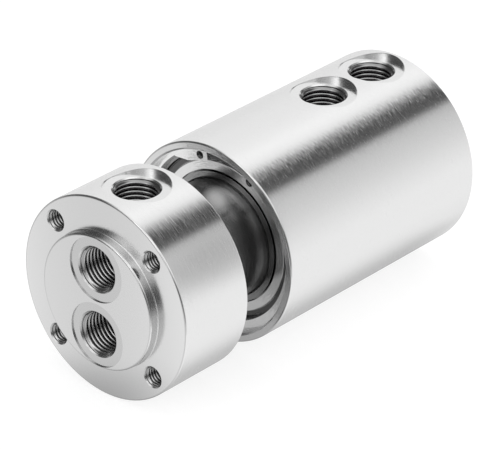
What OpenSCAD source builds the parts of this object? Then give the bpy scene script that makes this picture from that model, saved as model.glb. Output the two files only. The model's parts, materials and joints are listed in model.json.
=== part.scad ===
// Two-channel rotary union. The flanged rotor bolts to a machine and the housing turns on it.
// The axis lies along Y. The origin is the centre of the flange's mounting face, with the
// spigot towards -Y, the housing towards +Y and the housing ports towards +Z.

/* [Body] */
// Outside diameter of the flange and of the housing
body_d = 60; // [54:0.5:80]
// Wall of the housing round the bearings
housing_wall = 2.5; // [2:0.1:3]
// Free length of shaft between the flange and the housing
open_gap = 17.7; // [4:0.1:40]
// Radius of the rounded outer edges
edge_round = 0.6; // [0.2:0.05:1]
// Width of the chamfers at the housing's mouth and at the ends of its bore
edge_chamfer = 0.55; // [0.2:0.05:1]
// Radius of the fillets where the spigot and the shaft meet the flange
foot_fillet = 0.3; // [0.1:0.05:0.6]

/* [Flange] */
// Length of the flange along the axis
flange_len = 25; // [23:0.5:40]
// Diameter of the locating spigot
spigot_d = 40; // [38:0.5:42]
// Height of the locating spigot
spigot_len = 3; // [1.5:0.5:6]
// Metal left between the spigot's sealing faces and its edge
spigot_rim = 0.4; // [0.2:0.1:1]

/* [Tapped holes] */
// Number of tapped holes in the flange and in the rear face
bolt_count = 4; // [2, 4]
// Thread diameter of the tapped holes
bolt_d = 6; // [4:0.5:6.5]
// Metal left between the tapped holes and the outside
bolt_margin = 2; // [1:0.1:3]
// Depth of the tapped holes in the flange
bolt_depth = 12; // [6:0.5:20]
// Depth of the tapped holes in the rear face
rear_bolt_depth = 10; // [6:0.5:14]

/* [Ports] */
// Thread diameter of every port
port_d = 13.16; // [9.7:0.01:13.5]
// Depth of the two ports in the spigot
face_port_depth = 12; // [8:0.5:16]
// Depth of the ports in the curved sides
side_port_depth = 10; // [7:0.5:10.5]
// Diameter of the flat sealing face round each port
spot_d = 19.2; // [17:0.1:20]
// Depth of the sealing faces in the spigot
spot_depth = 0.4; // [0.2:0.1:1]
// Width of the chamfer at the mouth of each port
port_chamfer = 0.35; // [0.2:0.05:0.8]
// Distance from the flange's side ports to its rear face
port_to_flange_back = 11.5; // [10.5:0.1:14]
// Distance from the shoulder behind the bearings to the first port of the housing
shoulder_to_port = 9.6; // [8.6:0.1:16]
// Distance between the two ports of the housing
port_spacing = 21.3; // [18:0.1:30]
// Distance from the last port of the housing to its rear face
port_to_tail = 10.9; // [10:0.1:20]

/* [Channels] */
// Diameter of the long channels in the rotor
channel_d = 7; // [4:0.5:8]
// Distance between the centres of the two channels
channel_pitch = 18; // [16:0.5:19]
// Width of the ring chambers inside the housing
chamber_w = 8; // [6:0.5:8.5]
// Depth of the ring chambers
chamber_depth = 2; // [1:0.1:2.4]

/* [Bearings] */
// Bore of the two ball bearings, which is the shaft seat
bearing_bore = 35; // [33:0.5:36.5]
// Width of one ball bearing
bearing_w = 10; // [9:0.5:11]
// Diameter of the balls
ball_d = 5.6; // [5:0.1:5.8]
// Number of balls in one bearing
ball_count = 15; // [8:1:17]
// Length of the sleeve between the two bearings
spacer_len = 14; // [6:0.5:14.5]
// Wall of the sleeve between the two bearings
spacer_wall = 2.4; // [1.2:0.1:3]

/* [Retaining rings] */
// Distance from the housing's front face to its retaining ring
ring_inset = 2.7; // [1:0.1:3.5]
// Thickness of the ring in the housing
ring_t = 2; // [1:0.1:2.5]
// Depth of the groove that holds the ring in the housing
ring_groove_depth = 1; // [0.6:0.1:1.2]
// Thickness of the two rings on the shaft
shaft_ring_t = 1.5; // [1:0.1:2]
// Depth of the grooves that hold the rings on the shaft
shaft_groove_depth = 1; // [0.5:0.1:1.4]
// Angle of the housing ring's gap from the top
ring_gap_angle = 7.5; // [0:0.5:359.5]

/* [Seals] */
// Diameter of the shaft under the seals
seal_seat_d = 30; // [28:0.5:31]
// Width of each seal groove
seal_w = 2.2; // [1.8:0.1:2.4]
// Depth of each seal groove
seal_depth = 2.4; // [2:0.1:2.8]
// Thickness of the slide rings
slide_ring_t = 1.15; // [0.8:0.05:1.3]

/* [Clearances] */
// Gap between pieces that are pressed or pushed together
fit_gap = 0.02; // [0.01:0.01:0.05]
// Running clearance between the shaft and the housing bore
running_gap = 0.05; // [0.03:0.01:0.1]
// Gap between each ball and its raceways
ball_gap = 0.3; // [0.2:0.05:0.35]

/* [Hidden] */
$fn = 96;
small_fn = 48;

// stations along the axis, each from the one before
mouth_y = flange_len + open_gap;
ring_y = mouth_y + ring_inset;
front_bearing_y = ring_y + ring_t;
spacer_y = front_bearing_y + bearing_w;
rear_bearing_y = spacer_y + spacer_len;
pocket_end_y = rear_bearing_y + bearing_w;
port_1_y = pocket_end_y + shoulder_to_port;
port_2_y = port_1_y + port_spacing;
tail_y = port_2_y + port_to_tail;
flange_port_y = flange_len - port_to_flange_back;
shaft_recess = 0.8;
shaft_end_y = tail_y - shaft_recess;

// each seal lies midway between what bounds its land
relief_depth = 0.8;
seal_1_y = (pocket_end_y + relief_depth + port_1_y - chamber_w / 2) / 2;
seal_2_y = (port_1_y + port_2_y) / 2;
seal_3_y = (port_2_y + chamber_w / 2 + tail_y) / 2;

// radii
body_r = body_d / 2;
spigot_r = spigot_d / 2;
seat_r = bearing_bore / 2;
pocket_r = body_r - housing_wall;
shaft_r = seat_r - fit_gap;
seal_seat_r = seal_seat_d / 2;
seal_bore_r = seal_seat_r + running_gap;
port_r = port_d / 2;
spot_r = spot_d / 2;
channel_r = channel_d / 2;
channel_z = channel_pitch / 2;
face_port_z = spigot_r - spigot_rim - spot_r;
bolt_r = bolt_d / 2;
bolt_circle_r = body_r - bolt_margin - bolt_r;

// the flats round the side ports are milled just deep enough to clean up the curve
spot_cleanup = 0.12;
flat_z = sqrt(body_r * body_r - spot_r * spot_r) - spot_cleanup;

drill_tip = 59;
overcut = 1;
lip = 0.01;
groove_play = 0.1;

// a drilled cone, half its point angle from its axis
function tip_len(r) = r / tan(drill_tip);
function polar(r, a) = [r * sin(a), r * cos(a)];

// points of a rounded corner about [x, y], from angle a to angle b
arc_steps = 6;
function corner(x, y, r, a, b) =
    [for (i = [0 : arc_steps]) let (t = a + (b - a) * i / arc_steps) [x + r * cos(t), y + r * sin(t)]];

// bearing section, with every radius tied to the bore, the outside or the ball circle
ball_r = ball_d / 2;
ball_circle_r = (seat_r + pocket_r) / 2;
race_r = ball_r + ball_gap;
shoulder = 1.7;
bearing_chamfer = 0.5;
shield_seat_w = 1.5;
inner_land_h = 2.1;
outer_land_h = 2.5;
inner_land_r = seat_r + inner_land_h;
outer_land_r = pocket_r - outer_land_h;
shield_gap = 0.4;
shield_inset = 0.5;
shield_step = 0.5;
shield_sheet = 0.3;
shield_flat_out = 0.25;
shield_flat_r = ball_circle_r + shield_flat_out;
rim_bead = 0.3;
shield_round = 0.3;
pocket_gap = 0.15;
cage_sheet = 0.45;
cage_half_w = 1.1;
rivet_r = 0.5;
rivet_head_r = 0.75;
rivet_head_t = 0.35;

// a turned solid about the Y axis, from points of radius and distance along the axis
module turned(points) {
    rotate([-90, 0, 0]) rotate_extrude() polygon(points);
}

// a disc about the Y axis
module disc(r, y, t) {
    translate([0, y, 0]) rotate([-90, 0, 0]) cylinder(r = r, h = t);
}

// a flat plate across the axis, from points of X and Z
module cross_plate(points, y, t) {
    translate([0, y + t, 0]) rotate([90, 0, 0]) linear_extrude(height = t) polygon(points);
}

// a threaded port, pointing down from z = 0, with its chamfer and drill point
module port(depth) {
    translate([0, 0, -depth]) cylinder(r = port_r, h = depth + overcut, $fn = small_fn);
    translate([0, 0, -port_chamfer])
        cylinder(r1 = port_r, r2 = port_r + port_chamfer, h = port_chamfer, $fn = small_fn);
    translate([0, 0, -depth - tip_len(port_r)])
        cylinder(r1 = 0, r2 = port_r, h = tip_len(port_r) + lip, $fn = small_fn);
}

// a side port at y, with its milled flat and the drilling that feeds it
module side_port(y, feed_z) {
    translate([0, y, flat_z]) {
        cylinder(r = spot_r, h = body_r, $fn = small_fn);
        port(side_port_depth);
    }
    translate([0, y, feed_z])
        cylinder(r = channel_r, h = flat_z - side_port_depth - feed_z, $fn = small_fn);
}

// tapped holes whose mouths open along -Y at y = 0
module bolt_holes(depth) {
    bolt_chamfer = 0.3;
    for (i = [0 : bolt_count - 1])
        rotate([0, 45 + i * 360 / bolt_count, 0])
            translate([0, 0, bolt_circle_r]) rotate([-90, 0, 0]) {
                translate([0, 0, -overcut])
                    cylinder(r = bolt_r, h = depth + overcut, $fn = small_fn);
                cylinder(r1 = bolt_r + bolt_chamfer, r2 = bolt_r, h = bolt_chamfer, $fn = small_fn);
                translate([0, 0, depth - lip])
                    cylinder(r1 = bolt_r, r2 = 0, h = tip_len(bolt_r), $fn = small_fn);
            }
}

// one channel: the face port, the long drilling and the cross drilling into its chamber
module channel(end_y) {
    translate([0, spot_depth - spigot_len, face_port_z]) rotate([90, 0, 0]) {
        cylinder(r = spot_r, h = overcut, $fn = small_fn);
        port(face_port_depth);
    }
    channel_start_y = face_port_depth - spigot_len;
    translate([0, channel_start_y, channel_z]) rotate([-90, 0, 0]) {
        cylinder(r = channel_r, h = end_y - channel_start_y, $fn = small_fn);
        translate([0, 0, end_y - channel_start_y - lip])
            cylinder(r1 = channel_r, r2 = 0, h = tip_len(channel_r), $fn = small_fn);
    }
    translate([0, end_y, channel_z])
        cylinder(r = channel_r, h = seal_seat_r - channel_z + overcut, $fn = small_fn);
    side_port(flange_port_y, channel_z);
}

module rotor() {
    c = edge_chamfer;
    e = edge_round;
    groove_r = seat_r - shaft_groove_depth;
    ring_room = shaft_ring_t + groove_play;
    end_chamfer = 1;
    centre_r = 2.5;
    centre_angle = 30;
    color("silver")
        difference() {
            turned(concat([[0, -spigot_len]],
                corner(spigot_r - e, e - spigot_len, e, -90, 0),
                corner(spigot_r + foot_fillet, -foot_fillet, foot_fillet, 180, 90),
                corner(body_r - e, e, e, -90, 0),
                corner(body_r - e, flange_len - e, e, 0, 90),
                corner(shaft_r + foot_fillet, flange_len + foot_fillet, foot_fillet, 270, 180), [
                [shaft_r, spacer_y], [groove_r, spacer_y], [groove_r, spacer_y + ring_room],
                [shaft_r, spacer_y + ring_room], [shaft_r, rear_bearing_y - ring_room],
                [groove_r, rear_bearing_y - ring_room], [groove_r, rear_bearing_y],
                [shaft_r, rear_bearing_y], [shaft_r, pocket_end_y - c], [shaft_r - c, pocket_end_y],
                [seal_seat_r, pocket_end_y], [seal_seat_r, shaft_end_y - end_chamfer],
                [seal_seat_r - end_chamfer, shaft_end_y], [0, shaft_end_y]
            ]));
            bolt_holes(bolt_depth);
            channel(port_1_y);
            rotate([0, 180, 0]) channel(port_2_y);
            // centre hole of the turned shaft end
            translate([0, shaft_end_y + lip, 0]) rotate([90, 0, 0])
                cylinder(r1 = centre_r, r2 = 0, h = centre_r / tan(centre_angle));
        }
}

module housing() {
    c = edge_chamfer;
    e = edge_round;
    relief_r = outer_land_r - relief_depth;
    groove_r = pocket_r + ring_groove_depth;
    groove_end_y = ring_y + ring_t + groove_play;
    color("lightgray")
        difference() {
            turned(concat([
                [seal_bore_r, pocket_end_y + relief_depth], [relief_r, pocket_end_y + relief_depth],
                [relief_r, pocket_end_y], [pocket_r, pocket_end_y],
                [pocket_r, groove_end_y], [groove_r, groove_end_y],
                [groove_r, ring_y], [pocket_r, ring_y],
                [pocket_r, mouth_y + c], [pocket_r + c, mouth_y]],
                corner(body_r - e, mouth_y + e, e, -90, 0),
                corner(body_r - e, tail_y - e, e, 0, 90),
                [[seal_bore_r + c, tail_y], [seal_bore_r, tail_y - c]]
            ));
            for (y = [port_1_y, port_2_y]) {
                disc(seal_seat_r + chamber_depth, y - chamber_w / 2, chamber_w);
                side_port(y, seal_seat_r - overcut);
            }
            for (y = [seal_1_y, seal_2_y, seal_3_y])
                disc(seal_seat_r + seal_depth, y - seal_w / 2, seal_w);
            translate([0, tail_y, 0]) rotate([0, 0, 180]) bolt_holes(rear_bolt_depth);
        }
}

// ring in the housing mouth: an eccentric snap ring with two drilled lugs beside its gap
module retaining_ring() {
    section_w = 3.03;
    lug_w = 4.78;
    hole_inset = 3.38;
    outer_r = pocket_r + ring_groove_depth - fit_gap;
    inner_r = outer_r - section_w;
    lug_r = outer_r - lug_w;
    hole_circle_r = outer_r - hole_inset;
    hole_r = 1.25;
    offset_z = 1.1;
    gap_half = 15.3;
    lug_end = 34;
    ramp_end = 44;
    ramp_rise = 0.5;
    hole_angle = 21.5;
    lug = [
        polar(lug_r, gap_half), polar(lug_r, lug_end), polar(inner_r + ramp_rise, ramp_end),
        polar(body_r, ramp_end), polar(body_d, (gap_half + ramp_end) / 2), polar(body_r, gap_half)
    ];
    color("gainsboro")
        rotate([0, ring_gap_angle, 0])
            difference() {
                union() {
                    difference() {
                        disc(outer_r, ring_y, ring_t);
                        translate([0, 0, offset_z]) disc(inner_r, ring_y - overcut, ring_t + 2 * overcut);
                    }
                    for (side = [-1, 1])
                        intersection() {
                            disc(outer_r, ring_y, ring_t);
                            cross_plate([for (p = lug) [side * p[0], p[1]]], ring_y, ring_t);
                        }
                }
                cross_plate([[0, 0], polar(body_d, -gap_half), polar(body_d, gap_half)],
                    ring_y - overcut, ring_t + 2 * overcut);
                for (side = [-1, 1])
                    rotate([0, side * hole_angle, 0]) translate([0, 0, hole_circle_r])
                        disc(hole_r, ring_y - overcut, ring_t + 2 * overcut, $fn = small_fn);
            }
}

// ring on the shaft between the bearings, with its gap and lugs at the given angle
module shaft_ring(y, gap_angle) {
    section_w = 2.4;
    lug_w = 4.9;
    hole_inset = 3.2;
    groove_r = seat_r - shaft_groove_depth;
    inner_r = groove_r + fit_gap;
    outer_r = groove_r + section_w;
    lug_r = groove_r + lug_w;
    hole_circle_r = groove_r + hole_inset;
    hole_r = 1.25;
    offset_z = -0.9;
    gap_half = 9;
    lug_end = 25;
    hole_angle = 16;
    color("dimgray")
        rotate([0, gap_angle, 0])
            difference() {
                union() {
                    translate([0, 0, offset_z]) disc(outer_r, y, shaft_ring_t);
                    for (side = [-1, 1])
                        intersection() {
                            disc(lug_r, y, shaft_ring_t);
                            cross_plate([
                                [0, 0], polar(body_d, side * gap_half), polar(body_d, side * lug_end)
                            ], y, shaft_ring_t);
                        }
                }
                disc(inner_r, y - overcut, shaft_ring_t + 2 * overcut);
                cross_plate([[0, 0], polar(body_d, -gap_half), polar(body_d, gap_half)],
                    y - overcut, shaft_ring_t + 2 * overcut);
                for (side = [-1, 1])
                    rotate([0, side * hole_angle, 0]) translate([0, 0, hole_circle_r])
                        disc(hole_r, y - overcut, shaft_ring_t + 2 * overcut, $fn = small_fn);
            }
}

module front_shaft_ring() {
    shaft_ring(spacer_y, 180);
}

module rear_shaft_ring() {
    shaft_ring(rear_bearing_y - shaft_ring_t, 0);
}

// sleeve that keeps the two outer rings apart
module spacer_sleeve() {
    r = pocket_r - fit_gap;
    inner_r = pocket_r - spacer_wall;
    c = 0.4;
    color("darkgray")
        turned([
            [inner_r + c, spacer_y], [r - c, spacer_y], [r, spacer_y + c],
            [r, rear_bearing_y - c], [r - c, rear_bearing_y], [inner_r + c, rear_bearing_y],
            [inner_r, rear_bearing_y - c], [inner_r, spacer_y + c]
        ]);
}

// the groove that the balls run in, round the middle of a bearing
module raceway(y) {
    translate([0, y + bearing_w / 2, 0]) rotate([-90, 0, 0])
        rotate_extrude() translate([ball_circle_r, 0]) circle(r = race_r, $fn = small_fn);
}

module outer_ring(y) {
    r = pocket_r - fit_gap;
    c = bearing_chamfer;
    shoulder_r = ball_circle_r + shoulder;
    color("lightsteelblue")
        difference() {
            turned([
                [outer_land_r, y], [r - c, y], [r, y + c],
                [r, y + bearing_w - c], [r - c, y + bearing_w], [outer_land_r, y + bearing_w],
                [outer_land_r, y + bearing_w - shield_seat_w],
                [shoulder_r, y + bearing_w - shield_seat_w],
                [shoulder_r, y + shield_seat_w], [outer_land_r, y + shield_seat_w]
            ]);
            raceway(y);
        }
}

module inner_ring(y) {
    c = bearing_chamfer;
    shoulder_r = ball_circle_r - shoulder;
    color("lightsteelblue")
        difference() {
            turned([
                [seat_r + c, y], [inner_land_r, y], [inner_land_r, y + shield_seat_w],
                [shoulder_r, y + shield_seat_w], [shoulder_r, y + bearing_w - shield_seat_w],
                [inner_land_r, y + bearing_w - shield_seat_w], [inner_land_r, y + bearing_w],
                [seat_r + c, y + bearing_w], [seat_r, y + bearing_w - c], [seat_r, y + c]
            ]);
            raceway(y);
        }
}

// places what it is given at every ball of a bearing, shifted by a share of the ball spacing
module at_balls(y, shift) {
    for (i = [0 : ball_count - 1])
        rotate([0, (i + shift) * 360 / ball_count, 0])
            translate([0, y + bearing_w / 2, ball_circle_r]) children();
}

module balls(y) {
    color("white")
        at_balls(y, 0) sphere(r = ball_r, $fn = small_fn);
}

// pressed ribbon cage: a domed pocket round each ball, with a riveted web between pockets
module cage(y) {
    middle_y = y + bearing_w / 2;
    dome_r = ball_r + pocket_gap + cage_sheet;
    color("goldenrod")
        difference() {
            union() {
                difference() {
                    union() {
                        disc(ball_circle_r + cage_half_w, middle_y - cage_sheet, 2 * cage_sheet);
                        at_balls(y, 0) sphere(r = dome_r, $fn = small_fn);
                    }
                    disc(ball_circle_r - cage_half_w, middle_y - dome_r - overcut,
                        2 * (dome_r + overcut));
                    turned([
                        [ball_circle_r + cage_half_w, middle_y - dome_r - overcut],
                        [ball_circle_r + cage_half_w + dome_r, middle_y - dome_r - overcut],
                        [ball_circle_r + cage_half_w + dome_r, middle_y + dome_r + overcut],
                        [ball_circle_r + cage_half_w, middle_y + dome_r + overcut]
                    ]);
                }
                at_balls(y, 0.5) {
                    disc(rivet_r, -cage_sheet - rivet_head_t, 2 * (cage_sheet + rivet_head_t));
                    disc(rivet_head_r, -cage_sheet - rivet_head_t, rivet_head_t + lip);
                    disc(rivet_head_r, cage_sheet - lip, rivet_head_t + lip);
                }
            }
            at_balls(y, 0) sphere(r = ball_r + pocket_gap, $fn = small_fn);
        }
}

// pressed shield, with its flat outward, a step inward and a rolled rim in the outer ring;
// side is 1 where the outward side faces +Y
module shield(face_y, side) {
    inner_r = inner_land_r + shield_gap;
    rim_r = outer_land_r - fit_gap;
    step_y = shield_inset + shield_step;
    inside_step_r = shield_flat_r - shield_sheet;
    points = concat(
        [[inner_r, shield_inset]],
        corner(shield_flat_r - shield_round, shield_inset + shield_round, shield_round, -90, 0),
        [[shield_flat_r, step_y], [rim_r - 2 * rim_bead, step_y]],
        corner(rim_r - rim_bead, shield_inset + 2 * rim_bead, rim_bead, 180, 360),
        [
            [rim_r, step_y + shield_sheet], [inside_step_r, step_y + shield_sheet],
            [inside_step_r, shield_inset + shield_sheet], [inner_r, shield_inset + shield_sheet]
        ]
    );
    color("whitesmoke")
        turned([for (p = points) [p[0], face_y - side * p[1]]]);
}

// slide ring that runs on the shaft, in the groove at y
module slide_ring(y) {
    half_w = seal_w / 2 - fit_gap;
    inner_r = seal_seat_r + running_gap;
    outer_r = inner_r + slide_ring_t;
    c = 0.2;
    color("ivory")
        turned([
            [inner_r, y - half_w + c], [inner_r + c, y - half_w], [outer_r, y - half_w],
            [outer_r, y + half_w], [inner_r + c, y + half_w], [inner_r, y + half_w - c]
        ]);
}

// o-ring squeezed between the slide ring and the bottom of its groove
module o_ring(y) {
    inner_r = seal_seat_r + running_gap + slide_ring_t + fit_gap;
    outer_r = seal_seat_r + seal_depth - fit_gap;
    cord_r = (outer_r - inner_r) / 2;
    mid_r = (outer_r + inner_r) / 2;
    spread = seal_w / 2 - 3 * fit_gap - cord_r;
    color("black")
        union() {
            for (side = [-1, 1])
                translate([0, y + side * spread, 0]) rotate([-90, 0, 0])
                    rotate_extrude() translate([mid_r, 0]) circle(r = cord_r, $fn = small_fn);
            turned([
                [inner_r, y - spread], [outer_r, y - spread],
                [outer_r, y + spread], [inner_r, y + spread]
            ]);
        }
}

rotor();
housing();
retaining_ring();
spacer_sleeve();
front_shaft_ring();
rear_shaft_ring();
outer_ring(front_bearing_y);  // front_bearing_outer_ring
inner_ring(front_bearing_y);  // front_bearing_inner_ring
balls(front_bearing_y);  // front_bearing_balls
cage(front_bearing_y);  // front_bearing_cage
shield(front_bearing_y, -1);  // front_bearing_front_shield
shield(spacer_y, 1);  // front_bearing_rear_shield
outer_ring(rear_bearing_y);  // rear_bearing_outer_ring
inner_ring(rear_bearing_y);  // rear_bearing_inner_ring
balls(rear_bearing_y);  // rear_bearing_balls
cage(rear_bearing_y);  // rear_bearing_cage
shield(rear_bearing_y, -1);  // rear_bearing_front_shield
shield(pocket_end_y, 1);  // rear_bearing_rear_shield
slide_ring(seal_1_y);  // front_slide_ring
slide_ring(seal_2_y);  // middle_slide_ring
slide_ring(seal_3_y);  // rear_slide_ring
o_ring(seal_1_y);  // front_o_ring
o_ring(seal_2_y);  // middle_o_ring
o_ring(seal_3_y);  // rear_o_ring
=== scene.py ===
# Rotary union in satin turned steel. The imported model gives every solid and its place; this
# script adds the threads, the finishes, the light and the camera. All lengths are in metres.
import json
import math

import bpy
import numpy as np
from mathutils import Matrix, Vector


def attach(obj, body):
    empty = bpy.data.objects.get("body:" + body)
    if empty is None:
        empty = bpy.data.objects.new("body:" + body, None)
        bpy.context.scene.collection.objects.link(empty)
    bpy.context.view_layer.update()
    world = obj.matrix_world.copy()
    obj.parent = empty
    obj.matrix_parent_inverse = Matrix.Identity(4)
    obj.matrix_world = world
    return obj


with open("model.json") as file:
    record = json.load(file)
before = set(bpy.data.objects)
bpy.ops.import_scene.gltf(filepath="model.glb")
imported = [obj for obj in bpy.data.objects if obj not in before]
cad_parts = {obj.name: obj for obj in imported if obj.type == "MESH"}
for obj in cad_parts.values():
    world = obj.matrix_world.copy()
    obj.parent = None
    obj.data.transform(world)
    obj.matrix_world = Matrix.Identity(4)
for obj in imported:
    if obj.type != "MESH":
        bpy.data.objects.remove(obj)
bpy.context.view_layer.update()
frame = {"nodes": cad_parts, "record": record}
mounts = {mount["name"]: mount for mount in frame["record"]["mounts"]}
mm = 0.001


def addNode(tree, kind, **settings):
    node = tree.nodes.new(kind)
    for key, value in settings.items():
        setattr(node, key, value)
    return node


def feed(tree, value, socket):
    # another node's output is linked, a plain value is set
    if isinstance(value, bpy.types.NodeSocket):
        tree.links.new(value, socket)
    else:
        socket.default_value = value


def mathNode(tree, operation, *values):
    node = addNode(tree, "ShaderNodeMath", operation=operation)
    for value, socket in zip(values, node.inputs):
        feed(tree, value, socket)
    return node.outputs[0]


def vectorNode(tree, operation, first, second=None):
    node = addNode(tree, "ShaderNodeVectorMath", operation=operation)
    feed(tree, first, node.inputs[0])
    if second is not None:
        feed(tree, second, node.inputs["Scale" if operation == "SCALE" else 1])
    return node.outputs["Value" if operation in ("DOT_PRODUCT", "LENGTH") else "Vector"]


def rescale(tree, value, source, target=(0, 1), kind="LINEAR"):
    # takes the source range to the target range, and keeps to the target's ends beyond it
    node = addNode(tree, "ShaderNodeMapRange", interpolation_type=kind)
    feed(tree, value, node.inputs["Value"])
    for name, end in zip(("From Min", "From Max", "To Min", "To Max"), (*source, *target)):
        node.inputs[name].default_value = end
    return node.outputs["Result"]


def smoothStep(tree, value, low, high):
    return rescale(tree, value, (low, high), kind="SMOOTHSTEP")


mixSockets = {"FLOAT": (0, 2, 3, 0), "RGBA": (0, 6, 7, 2)}   # share, first, second; result


def mix(tree, kind, *values):
    # values are the share of the second one, the first and the second
    node = addNode(tree, "ShaderNodeMix", data_type=kind)
    *places, result = mixSockets[kind]
    for value, k in zip(values, places):
        feed(tree, value, node.inputs[k])
    return node.outputs[result]


def mixShaders(tree, share, first, second):
    node = addNode(tree, "ShaderNodeMixShader")
    for value, socket in zip((share, first, second), node.inputs):
        feed(tree, value, socket)
    return node.outputs[0]


def ramp(tree, factor, stops):
    # grey between the stops, each a position from 0 to 1 and a value
    node = addNode(tree, "ShaderNodeValToRGB")
    points = node.color_ramp.elements
    while len(points) < len(stops):
        points.new(0.5)
    for point, (position, value) in zip(points, stops):
        point.position = position
        point.color = (value, value, value, 1)
    feed(tree, factor, node.inputs[0])
    return node.outputs[0]


def coordinates(tree, kind="Object"):
    # X, Y and Z of a point, or with "Normal" of the way that its surface faces
    split = addNode(tree, "ShaderNodeSeparateXYZ")
    feed(tree, addNode(tree, "ShaderNodeTexCoord").outputs[kind], split.inputs[0])
    return split.outputs["X"], split.outputs["Y"], split.outputs["Z"]


def distance(tree, first, second):
    # root of the sum of the two squares
    squares = [mathNode(tree, "MULTIPLY", value, value) for value in (first, second)]
    return mathNode(tree, "SQRT", mathNode(tree, "ADD", *squares))


def between(tree, value, low, high):
    above = mathNode(tree, "GREATER_THAN", value, low)
    return mathNode(tree, "MULTIPLY", above, mathNode(tree, "LESS_THAN", value, high))


def newMaterial(name):
    material = bpy.data.materials.new(name)
    material.use_nodes = True
    return material, material.node_tree


def addObject(name, data):
    piece = bpy.data.objects.new(name, data)
    bpy.context.scene.collection.objects.link(piece)
    return piece


camera = {
    "place": (0.54373, -0.55690, 0.43739),   # where the photograph was taken from
    "right": (0.74914, 0.66240, 0.00233),
    "up": (-0.31334, 0.35128, 0.88228),
    "lens": 237.71,          # millimetres, on a sensor 36 mm wide
    "sensor": 36.0,
    "clip": (0.05, 20.0),
}


def makeCamera():
    right, up = Vector(camera["right"]).normalized(), Vector(camera["up"])
    back = right.cross(up).normalized()
    up = back.cross(right)
    data = bpy.data.cameras.new("camera")
    data.lens, data.sensor_width = camera["lens"], camera["sensor"]
    data.clip_start, data.clip_end = camera["clip"]
    viewer = addObject("camera", data)
    turn = Matrix((right, up, back)).transposed().to_4x4()
    viewer.matrix_world = Matrix.Translation(camera["place"]) @ turn
    bpy.context.scene.camera = viewer


# a soft light tent with one dark gap above the right-hand side
tent = {
    # (degrees round the object's axis, from +X towards +Z; brightness), for light that comes
    # from behind the housing, from beside it and from in front of the flange
    "behind": [
        (-180, 0.83), (-169, 0.80), (-159, 0.80), (-149, 0.78), (-139, 0.85), (-129, 0.88),
        (-119, 0.87), (-109, 0.83), (-99, 0.80), (-89, 0.86), (-79, 0.93), (-69, 0.95),
        (-55, 0.99), (-20, 1.00), (0, 0.91), (20, 0.78), (40, 0.67), (51, 0.58), (57, 0.07),
        (73, 0.07), (80, 0.40), (87, 0.92), (92, 1.05), (102, 1.12), (115, 1.02), (130, 0.97),
        (150, 0.94), (161, 0.90), (171, 0.86), (180, 0.83),
    ],
    "beside": [
        (-180, 0.45), (-100, 0.60), (-60, 1.00), (-30, 1.10), (-16, 0.35), (12, 0.35),
        (28, 1.05), (60, 1.20), (108, 1.00), (120, 0.45), (130, 0.10), (165, 0.10), (180, 0.45),
    ],
    "inFront": [
        (-180, 0.20), (-165, 0.45), (-141, 0.80), (-125, 0.76), (-107, 0.69), (-89, 0.67),
        (-60, 0.70), (-44, 0.62), (-26, 0.60), (-17, 0.30), (-8, 0.09), (12, 0.09), (19, 0.18),
        (28, 0.49), (37, 0.69), (50, 0.72), (57, 0.85), (64, 1.05), (70, 0.70), (77, 0.55),
        (82, 0.55), (91, 0.75), (100, 0.95), (109, 0.90), (118, 0.74), (127, 0.38), (135, 0.08),
        (165, 0.07), (180, 0.20),
    ],
    # the Y of a direction, over which one light goes over into the next
    "frontToSide": (-0.52, -0.25),
    "sideToBack": (0.15, 0.50),
    "level": 1.15,
    # small soft box: its direction, the cosines where its glow starts and is full, what it adds
    "box": {"aim": (-0.02, -0.88, 0.475), "edges": (0.958, 0.997), "gain": 0.95},
}


def makeWorld():
    world = bpy.data.worlds.new("tent")
    bpy.context.scene.world = world
    world.use_nodes = True
    tree = world.node_tree
    tree.nodes.clear()
    x, y, z = coordinates(tree, "Generated")
    angle = mathNode(tree, "ARCTAN2", z, x)
    turn = mathNode(tree, "MULTIPLY_ADD", angle, 1 / (2 * math.pi), 0.5)
    front, side, back = (
        ramp(tree, turn, [((degrees + 180) / 360, value) for degrees, value in tent[zone]])
        for zone in ("inFront", "beside", "behind")
    )
    light = mix(tree, "RGBA", smoothStep(tree, y, *tent["frontToSide"]), front, side)
    light = mix(tree, "RGBA", smoothStep(tree, y, *tent["sideToBack"]), light, back)
    box = tent["box"]
    direction = addNode(tree, "ShaderNodeTexCoord").outputs["Generated"]
    aim = vectorNode(tree, "DOT_PRODUCT", direction, box["aim"])
    glow = mathNode(tree, "MULTIPLY", smoothStep(tree, aim, *box["edges"]), box["gain"])
    light = vectorNode(tree, "ADD", light, glow)
    # white for the eye; the tent for everything else
    seen = addNode(tree, "ShaderNodeLightPath").outputs["Is Camera Ray"]
    background = addNode(tree, "ShaderNodeBackground")
    feed(tree, mix(tree, "RGBA", seen, light, (1, 1, 1, 1)), background.inputs["Color"])
    strength = rescale(tree, seen, (0, 1), (tent["level"], 1))
    feed(tree, strength, background.inputs["Strength"])
    feed(tree, background.outputs[0], addNode(tree, "ShaderNodeOutputWorld").inputs[0])


paleFloor = {
    "depth": 30.2 * mm,      # below the axis, just under the object
    "half": 3.0,
    "color": 0.85,
    "glow": 0.80,            # the part of its white that no shadow takes away
    "glowShare": 0.62,       # how much of it glows for the eye, the rest being matt
    # in reflections the floor carries a painted shadow under the object: it lets this share of the
    # light through round a line along Y between these ends, up to the first distance, and all from
    # the second
    "shade": {"ends": (15 * mm, 110 * mm), "edges": (8 * mm, 42 * mm), "through": 0.52},
}


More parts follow.
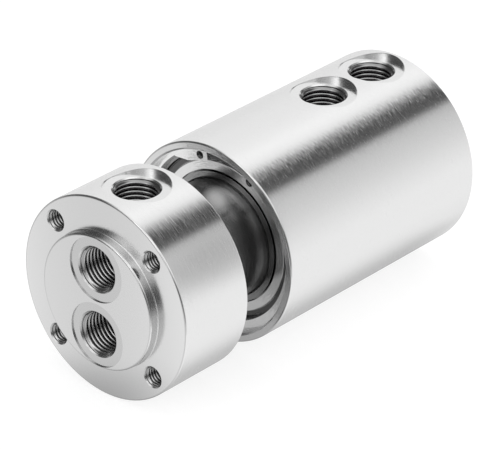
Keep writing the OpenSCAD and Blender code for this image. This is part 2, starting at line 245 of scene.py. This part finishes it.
def makeFloor():
    half, z = paleFloor["half"], -paleFloor["depth"]
    mesh = bpy.data.meshes.new("floor")
    corners = [(-half, -half, z), (half, -half, z), (half, half, z), (-half, half, z)]
    mesh.from_pydata(corners, [], [(0, 1, 2, 3)])
    floor = addObject("floor", mesh)
    material, tree = newMaterial("paleFloor")
    tree.nodes.clear()
    matt = addNode(tree, "ShaderNodeBsdfDiffuse")
    matt.inputs["Color"].default_value = (*[paleFloor["color"]] * 3, 1)
    white = addNode(tree, "ShaderNodeEmission")
    white.inputs["Strength"].default_value = paleFloor["glow"] / paleFloor["glowShare"]
    path = addNode(tree, "ShaderNodeLightPath").outputs
    glowing = mathNode(tree, "MULTIPLY", path["Is Camera Ray"], paleFloor["glowShare"])
    seen = mixShaders(tree, glowing, matt.outputs[0], white.outputs[0])
    # reflections and their light tests see the tent through the floor
    through = mathNode(tree, "MAXIMUM", path["Is Glossy Ray"], path["Is Transmission Ray"])
    through = mathNode(tree, "MAXIMUM", through, path["Is Shadow Ray"])
    # painted shadow under the object, seen only in reflections through the floor
    shade = paleFloor["shade"]
    x, y, _ = coordinates(tree)
    nearest = mathNode(tree, "MAXIMUM", y, shade["ends"][0])
    nearest = mathNode(tree, "MINIMUM", nearest, shade["ends"][1])
    away = distance(tree, x, mathNode(tree, "SUBTRACT", y, nearest))
    light = smoothStep(tree, away, *shade["edges"])
    light = mathNode(tree, "MULTIPLY_ADD", light, 1 - shade["through"], shade["through"])
    clear = addNode(tree, "ShaderNodeBsdfTransparent")
    feed(tree, light, clear.inputs["Color"])
    look = mixShaders(tree, through, seen, clear.outputs[0])
    feed(tree, look, addNode(tree, "ShaderNodeOutputMaterial").inputs[0])
    mesh.materials.append(material)


# dark flag round the flange, a flat ring sector that the housing's mouth reflects
flag = {
    "y": 10 * mm,
    "radius": (37 * mm, 64 * mm),
    "angle": (-85, 62),      # degrees from +X towards +Z
    "columns": 48,
    "glow": 0.12,
}
# small reflector in the housing's mouth, and a grey gel that dims the flange's near side
reflector = {"center": (3.8 * mm, 44.5 * mm, 22.4 * mm), "half": (9.5 * mm, 5.8 * mm), "glow": 1.1}
gel = {"center": (76 * mm, 60 * mm, 34 * mm), "half": (42 * mm, 42 * mm), "through": 0.68}
softEdge = (0.2, 1.0)        # shares of a card's half size between which it fades away


def stageCard(name, points, faces, towards, look):
    # a card that only reflections towards -Y (-1) or +Y (1) see. It glows, or is a gel that lets
    # a share through, and one with a centre and a half size fades towards its edge.
    mesh = bpy.data.meshes.new(name)
    mesh.from_pydata(points.tolist(), [], faces.tolist())
    card = addObject(name, mesh)
    material, tree = newMaterial(name + "Cloth")
    tree.nodes.clear()
    if "through" in look:
        cloth = addNode(tree, "ShaderNodeBsdfTransparent")
        cloth.inputs["Color"].default_value = (*[look["through"]] * 3, 1)
    else:
        cloth = addNode(tree, "ShaderNodeEmission")
        cloth.inputs["Strength"].default_value = look["glow"]
    clear = addNode(tree, "ShaderNodeBsdfTransparent")
    share = addNode(tree, "ShaderNodeNewGeometry").outputs["Backfacing"]
    if towards > 0:
        share = mathNode(tree, "SUBTRACT", 1.0, share)
    if "half" in look:
        wide, high = look["half"]
        point = addNode(tree, "ShaderNodeTexCoord").outputs["Object"]
        offset = vectorNode(tree, "SUBTRACT", point, look["center"])
        far = vectorNode(tree, "LENGTH", vectorNode(tree, "DIVIDE", offset, (wide, 1, high)))
        share = mathNode(tree, "MAXIMUM", share, smoothStep(tree, far, *softEdge))
    shader = mixShaders(tree, share, cloth.outputs[0], clear.outputs[0])
    feed(tree, shader, addNode(tree, "ShaderNodeOutputMaterial").inputs[0])
    mesh.materials.append(material)
    for kind in ("camera", "diffuse", "transmission", "shadow"):
        setattr(card, f"visible_{kind}", False)


def makeCards():
    # flag: radius goes from inner to outer, and angle from end to end
    angles = np.radians(np.linspace(*flag["angle"], flag["columns"]))
    radii = np.array(flag["radius"])[:, None]
    level = np.full((2, len(angles)), flag["y"])
    points = np.stack([radii * np.cos(angles), level, radii * np.sin(angles)], -1)
    k = np.arange(len(angles) - 1)
    faces = np.stack([k, k + 1, k + 1 + len(angles), k + len(angles)], -1)
    stageCard("flag", points.reshape(-1, 3), faces, -1, flag)
    for name, look in (("reflector", reflector), ("gel", gel)):
        wide, high = look["half"]
        corners = np.array([(-1, 0, -1), (-1, 0, 1), (1, 0, 1), (1, 0, -1)]) * (wide, 1, high)
        stageCard(name, look["center"] + corners, np.array([[0, 1, 2, 3]]), 1, look)


steel = {
    "color": (0.71, 0.71, 0.715),
    "roughness": (0.12, 0.28),   # between which the tool marks vary
    "anisotropy": 0.3,
    "grooves": 5000.0,           # marks for each metre, along the axis and across the faces
    "drift": 560.0,              # how fast a mark changes round its turn
    "markDepth": 3e-6,
    "tilt": 0.19,                # how far a mark leans round the axis
    "most": 0.13,                # the most that the noise counts to either side
    "calm": {"z": (21 * mm, 24 * mm), "share": 0.25},   # below, the marks lean by this share
    "faces": {                   # faces across the axis
        "edges": (0.8, 0.98),    # Y of the normal, where a chamfer ends and a face is full
        "roughness": 0.19,
        "paintedSheen": 0.126,          # painted sheen: how much more the front gives back this far from x = 0
        "paintedSheenAt": 30 * mm,
        "back": -0.13,           # painted shade: how much less a face towards the rear gives back
    },
}
# the rotor's marks are longer and lean less
rotorSteel = dict(steel, tilt=0.09, drift=300.0)
# painted shade on the sealing faces round the spigot's ports: between two values of y, and their
# share of the colour
recessShade = {"y": (-2.85 * mm, -1 * mm), "share": 0.86}
# ground shaft, darker partly as painted shade of the gap: what of the rotor lies inside the
# radius, between two values of y
shadedShaft = {"radius": 18.2 * mm, "y": (24.9 * mm, 60 * mm), "color": 0.38, "roughness": 0.26}
noiseSpan = (0.3, 0.7)           # where a noise has nearly all its values


def latheMarks(tree, x, y, z, look):
    # noise that changes fast along the axis and with the radius, and slowly round the turn
    grooves, drift = look["grooves"], look["drift"]
    join = addNode(tree, "ShaderNodeCombineXYZ")
    for value, rate, socket in zip((x, y, z), (drift, grooves, drift), join.inputs):
        feed(tree, mathNode(tree, "MULTIPLY", value, rate), socket)
    noise = addNode(tree, "ShaderNodeTexNoise", noise_dimensions="4D")
    feed(tree, join.outputs[0], noise.inputs["Vector"])
    feed(tree, mathNode(tree, "MULTIPLY", distance(tree, x, z), grooves), noise.inputs["W"])
    noise.inputs["Scale"].default_value = 1.0
    noise.inputs["Detail"].default_value = 2.0
    return noise.outputs["Fac"]


def turnedFinish(name, look, onRotor=False):
    material, tree = newMaterial(name)
    shader = tree.nodes["Principled BSDF"].inputs
    shader["Base Color"].default_value = (*look["color"], 1)
    shader["Metallic"].default_value = 1.0
    shader["Anisotropic"].default_value = look["anisotropy"]
    shader["Anisotropic Rotation"].default_value = 0.25
    tangent = addNode(tree, "ShaderNodeTangent", direction_type="RADIAL", axis="Y").outputs[0]
    feed(tree, tangent, shader["Tangent"])
    x, y, z = coordinates(tree)
    marks = latheMarks(tree, x, y, z, look)
    roughness = rescale(tree, marks, noiseSpan, look["roughness"])
    lean = mathNode(tree, "SUBTRACT", marks, sum(noiseSpan) / 2)
    lean = mathNode(tree, "MAXIMUM", lean, -look["most"])
    lean = mathNode(tree, "MINIMUM", lean, look["most"])
    lean = mathNode(tree, "MULTIPLY", lean, look["tilt"])
    faces = look["faces"]
    if faces:
        across = coordinates(tree, "Normal")[1]
        front = smoothStep(tree, mathNode(tree, "MULTIPLY", across, -1), *faces["edges"])
        # faces towards the rear get painted shade
        back = smoothStep(tree, across, *faces["edges"])
        face = mathNode(tree, "ADD", front, back)
        roughness = mix(tree, "FLOAT", face, roughness, faces["roughness"])
        # plain colour, at the front also a painted sheen times (x / its reach) squared, and
        # painted shade that makes it less at the rear
        aside = mathNode(tree, "DIVIDE", x, faces["paintedSheenAt"])
        aside = mathNode(tree, "MULTIPLY", aside, aside)
        paintedSheen = mathNode(tree, "MULTIPLY", aside, faces["paintedSheen"])
        color = mathNode(tree, "MULTIPLY_ADD", paintedSheen, front, look["color"][0])
        color = mathNode(tree, "MULTIPLY_ADD", back, faces["back"], color)
        calm = look["calm"]
        high = smoothStep(tree, z, *calm["z"])
        high = mathNode(tree, "MULTIPLY_ADD", high, 1 - calm["share"], calm["share"])
        lean = mathNode(tree, "MULTIPLY", lean, high)
        if onRotor:
            # painted shade on the faces in the port recesses
            inRecess = mathNode(tree, "MULTIPLY", between(tree, y, *recessShade["y"]), front)
            darker = mathNode(tree, "MULTIPLY_ADD", inRecess, recessShade["share"] - 1, 1.0)
            color = mathNode(tree, "MULTIPLY", color, darker)
            # painted shade: the shaft's darker colour partly stands for the gap's shadow
            onShaft = mathNode(tree, "LESS_THAN", distance(tree, x, z), shadedShaft["radius"])
            onShaft = mathNode(tree, "MULTIPLY", onShaft, between(tree, y, *shadedShaft["y"]))
            color = mix(tree, "FLOAT", onShaft, color, shadedShaft["color"])
            roughness = mix(tree, "FLOAT", onShaft, roughness, shadedShaft["roughness"])
            lean = mathNode(tree, "MULTIPLY", lean, mathNode(tree, "SUBTRACT", 1.0, onShaft))
        feed(tree, color, shader["Base Color"])
    feed(tree, roughness, shader["Roughness"])
    # each mark leans a little round the axis, which frays the edges of what the steel reflects
    normal = addNode(tree, "ShaderNodeNewGeometry").outputs["Normal"]
    leaning = vectorNode(tree, "ADD", normal, vectorNode(tree, "SCALE", tangent, lean))
    bump = addNode(tree, "ShaderNodeBump")
    bump.inputs["Distance"].default_value = look["markDepth"]
    feed(tree, marks, bump.inputs["Height"])
    feed(tree, vectorNode(tree, "NORMALIZE", leaning), bump.inputs["Normal"])
    feed(tree, bump.outputs[0], shader["Normal"])
    return material


# small turned pieces, with no play of light on their faces
smoothSteel = dict(steel, faces=None, markDepth=1e-6)
ringSteel = dict(smoothSteel, color=(0.95, 0.95, 0.95))
bearingRingSteel = dict(smoothSteel, color=(0.31, 0.31, 0.31), roughness=(0.14, 0.20))
# and pressed or polished ones, with no marks that draw the light out
plainSteel = dict(smoothSteel, anisotropy=0.0)
ballSteel = dict(plainSteel, roughness=(0.04, 0.06))
cageSteel = dict(plainSteel, color=(0.52, 0.51, 0.48), roughness=(0.28, 0.36))
shieldSteel = dict(plainSteel, color=(0.82, 0.82, 0.82), roughness=(0.14, 0.20))
# painted shade in the groove where a shield is crimped in, outside the radius
crimpShade = {"radius": 22.8 * mm, "blur": 0.1 * mm, "color": 0.11}


def shieldFinish():
    material = turnedFinish("shieldSteel", shieldSteel)
    tree = material.node_tree
    x, _, z = coordinates(tree)
    radius, blur = crimpShade["radius"], crimpShade["blur"]
    # painted shade outside the crimp radius
    outside = smoothStep(tree, distance(tree, x, z), radius - blur, radius + blur)
    color = mix(tree, "FLOAT", outside, shieldSteel["color"][0], crimpShade["color"])
    feed(tree, color, tree.nodes["Principled BSDF"].inputs["Base Color"])
    return material


# grain is the number of specks for each metre
plastic = {"color": (0.40, 0.33, 0.24), "roughness": (0.4, 0.5), "grain": 900, "depth": 4e-6}
rubber = {"color": (0.03, 0.03, 0.03), "roughness": (0.5, 0.6), "grain": 1200, "depth": 5e-6}


def softFinish(name, look):
    material, tree = newMaterial(name)
    shader = tree.nodes["Principled BSDF"].inputs
    shader["Base Color"].default_value = (*look["color"], 1)
    noise = addNode(tree, "ShaderNodeTexNoise")
    feed(tree, addNode(tree, "ShaderNodeTexCoord").outputs["Object"], noise.inputs["Vector"])
    noise.inputs["Scale"].default_value = look["grain"]
    noise.inputs["Detail"].default_value = 3.0
    specks = noise.outputs["Fac"]
    feed(tree, rescale(tree, specks, noiseSpan, look["roughness"]), shader["Roughness"])
    bump = addNode(tree, "ShaderNodeBump")
    bump.inputs["Distance"].default_value = look["depth"]
    feed(tree, specks, bump.inputs["Height"])
    feed(tree, bump.outputs[0], shader["Normal"])
    return material


def finishNodes():
    bySlot = {
        "turned_steel": turnedFinish("turnedSteel", steel),
        "ring_steel": turnedFinish("ringSteel", ringSteel),
        "bearing_steel": turnedFinish("bearingRingSteel", bearingRingSteel),
        "ball_steel": turnedFinish("ballSteel", ballSteel),
        "cage_steel": turnedFinish("cageSteel", cageSteel),
        "shield_steel": shieldFinish(),
        "slide_ring_plastic": softFinish("slideRingPlastic", plastic),
        "seal_rubber": softFinish("sealRubber", rubber),
    }
    byNode = {"rotor": turnedFinish("rotorSteel", rotorSteel, onRotor=True)}
    for part in frame["record"]["subparts"]:
        materials = frame["nodes"][part["node"]].data.materials
        materials.clear()
        materials.append(byNode.get(part["node"]) or bySlot[part["material_slot"]])


# painted light and shade: bright crests and dark roots, and the heights between which one fades
# into the other
shadedThreadSteel = {"crest": 0.62, "root": 0.10, "fade": (0.15, 0.6), "roughness": 0.2}
# the side ports' threads get deeper painted shade
deeperShadedThreadSteel = dict(shadedThreadSteel, crest=0.42, root=0.085)
portThread = {
    "pitch": 1.337 * mm,
    "coreRadius": 5.72 * mm,
    "chamfer": 0.35 * mm,    # width of the chamfer that the solid has
    "crestFlat": 0.16,       # shares of the pitch that are flat at the crest and at the root
    "rootFlat": 0.10,
    "columns": 96,           # round the turn
    "endGap": 0.8 * mm,      # plain bottom of the hole
    "slack": 0.03 * mm,      # between the thread's outer wall and the hole
    "lip": 0.02 * mm,        # how far behind the chamfer's edge the outer wall starts
    "edge": 0.03 * mm,       # what lies this near to the chamfer's edge is creased
    # painted highlight where the chamfer cuts the first turn: over so many pitches no height
    # counts as more
    "bright": (0.6, 0.3),
}
boltThread = dict(
    portThread, pitch=1.0 * mm, coreRadius=2.46 * mm, chamfer=0.3 * mm, columns=56,
    endGap=0.6 * mm,
)


def threadFinish(name, look):
    # painted light and shade: colour from the height that the thread pieces carry, 0 at the crest
    # and 1 at the root
    material, tree = newMaterial(name)
    shader = tree.nodes["Principled BSDF"].inputs
    shader["Metallic"].default_value = 1.0
    shader["Roughness"].default_value = look["roughness"]
    height = addNode(tree, "ShaderNodeAttribute", attribute_name="height").outputs["Fac"]
    stops = list(zip(look["fade"], (look["crest"], look["root"])))
    feed(tree, ramp(tree, height, stops), shader["Base Color"])
    return material


samePlace = 1e-7             # points are joined when they are this near to each other


def meshFromFaces(name, points, faces, sharp, heights, material):
    # joins points that coincide, drops the triangles that this empties, and turns faces outward
    keys = np.round(points / samePlace).astype(np.int64)
    _, first, index = np.unique(keys, axis=0, return_index=True, return_inverse=True)
    points, sharp, heights = points[first], sharp[first], heights[first]
    faces = index.reshape(-1)[faces]
    triangles = np.concatenate([faces[:, (0, 1, 2)], faces[:, (0, 2, 3)]])
    a, b, c = triangles.T
    triangles = triangles[(a != b) & (b != c) & (c != a)]
    corners = points[triangles]
    if (np.cross(corners[:, 1], corners[:, 2]) * corners[:, 0]).sum() < 0:
        triangles = triangles[:, ::-1]
    mesh = bpy.data.meshes.new(name)
    mesh.from_pydata(points.tolist(), [], triangles.tolist())
    mesh.polygons.foreach_set("use_smooth", np.ones(len(mesh.polygons), bool))
    ends = np.empty(len(mesh.edges) * 2, np.int32)
    mesh.edges.foreach_get("vertices", ends)
    hard = sharp[ends].reshape(-1, 2).all(1)
    mesh.attributes.new("sharp_edge", "BOOLEAN", "EDGE").data.foreach_set("value", hard)
    mesh.attributes.new("height", "FLOAT", "POINT").data.foreach_set("value", heights)
    mesh.materials.append(material)
    return addObject(name, mesh)


def threadSleeve(name, body, mouth, axis, bore, length, thread, material):
    # Rows follow the helix: depth is the row's own place less one pitch for each whole turn, kept
    # between the chamfer and the bottom. The inner radius goes crest, flank, root, flank over a
    # pitch, and stays outside the cone that the chamfer starts. A plain outer wall and a flat end
    # close the sleeve.
    pitch, start, columns = thread["pitch"], thread["chamfer"], thread["columns"]
    crest, root, core = thread["crestFlat"], thread["rootFlat"], thread["coreRadius"]
    third = (1 - crest - root) / 2 / 3
    steps = [0, crest / 2, crest / 2, third, third, third, root / 2, root / 2, third, third]
    profile = np.array([0, 0, 0, 0.33, 0.67, 1, 1, 1, 0.67, 0.33])
    pitches = int(math.ceil((length - start) / pitch)) + 2
    rowPlace = (np.arange(pitches)[:, None] + np.cumsum(steps)[None, :]).reshape(-1, 1) * pitch
    turn = np.arange(columns)[None, :] / columns
    depth = np.clip(start + rowPlace - pitch * turn, start, length)
    fade = np.clip((length - depth) / pitch, 0, 1)
    inner = core + (bore - core) * np.tile(profile, pitches)[:, None] * fade
    inner = np.minimum(np.maximum(inner, bore + start - depth), bore)
    radius = np.vstack([inner, np.full((2, columns), bore)])
    wallEnds = np.array([[length], [start + thread["lip"]]])
    depth = np.vstack([depth, np.repeat(wallEnds, columns, axis=1)])
    rows, step = len(rowPlace), len(steps)
    side = np.array((0.0, 0, 1)) if abs(axis[2]) < 0.5 else np.array((1.0, 0, 0))
    other = np.cross(axis, side)
    angle = (2 * math.pi * turn)[..., None]
    outward = np.cos(angle) * side + np.sin(angle) * other
    points = mouth - axis * depth[..., None] + radius[..., None] * outward
    i, j = np.meshgrid(np.arange(rows + 2), np.arange(columns), indexing="ij")
    below = (i + 1) % (rows + 2)
    # across the seam the helix has gone down by one pitch, so rows join those one pitch back
    seam = j == columns - 1
    back = np.where(seam & (i < rows), np.maximum(i - step, 0), i)
    backBelow = np.where(seam & (below < rows), np.maximum(below - step, 0), below)
    right = (j + 1) % columns
    corners = ((i, j), (back, right), (backBelow, right), (below, j))
    faces = np.stack([row * columns + column for row, column in corners], -1).reshape(-1, 4)
    sharp = (np.abs(depth - start) < thread["edge"]) | (np.abs(depth - length) < samePlace)
    heights = np.clip((radius - core) / (bore - core), 0, 1)
    # painted highlight at the mouth: there no point is darker than this height's colour
    highlightPitches, highlightHeight = thread["bright"]
    atMouth = depth < start + highlightPitches * pitch
    heights = np.where(atMouth, np.minimum(heights, highlightHeight), heights)
    piece = meshFromFaces(
        name, points.reshape(-1, 3), faces, sharp.reshape(-1), heights.reshape(-1), material
    )
    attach(piece, body)


# sealing faces of the ports: from the axis, or in the spigot in front of the mounting face
sealingFace = {"side": 28.303 * mm, "spigot": 2.6 * mm}
# the body that holds the bolts' threads, and how deep the holes are
bolts = {"flange_bolts": ("rotor", 12 * mm), "rear_bolts": ("housing", 10 * mm)}


def addThreads():
    bright = threadFinish("shadedThreadSteel", shadedThreadSteel)
    deeperShadedThread = threadFinish("threadSteelDeeperShade", deeperShadedThreadSteel)
    for name, mount in mounts.items():
        if mount["kind"] == "threaded_hole":
            axis, mouth = np.array(mount["axis"], float), np.array(mount["pos_m"], float)
            along, finish = ("spigot", bright) if axis[1] else ("side", deeperShadedThread)
            mouth = mouth - axis * (mouth @ axis) + axis * sealingFace[along]
            body = "housing" if name.startswith("housing") else "rotor"
            bore = mount["dims"]["r_mm"] * mm - portThread["slack"]
            length = mount["dims"]["length_mm"] * mm
            length += portThread["chamfer"] - portThread["endGap"]
            name += "_thread"
            threadSleeve(name, body, mouth, axis, bore, length, portThread, finish)
    for name, (body, deep) in bolts.items():
        mount = mounts[name]
        axis, middle = np.array(mount["axis"], float), np.array(mount["pos_m"], float)
        circle, count = mount["dims"]["pcd_mm"] / 2 * mm, mount["dims"]["count"]
        bore = mount["dims"]["hole_r_mm"] * mm - boltThread["slack"]
        length = deep - boltThread["endGap"]
        for k in range(count):
            turn = math.radians(360 * (k + 0.5) / count)
            mouth = middle + circle * np.array((math.sin(turn), 0, math.cos(turn)))
            piece = f"{name}_thread_{k + 1}"
            threadSleeve(piece, body, mouth, axis, bore, length, boltThread, bright)


print("camera and studio")
makeCamera()
makeWorld()
makeFloor()
makeCards()
bpy.context.scene.view_settings.view_transform = "Standard"
print("finishes")
finishNodes()
print("threads")
addThreads()
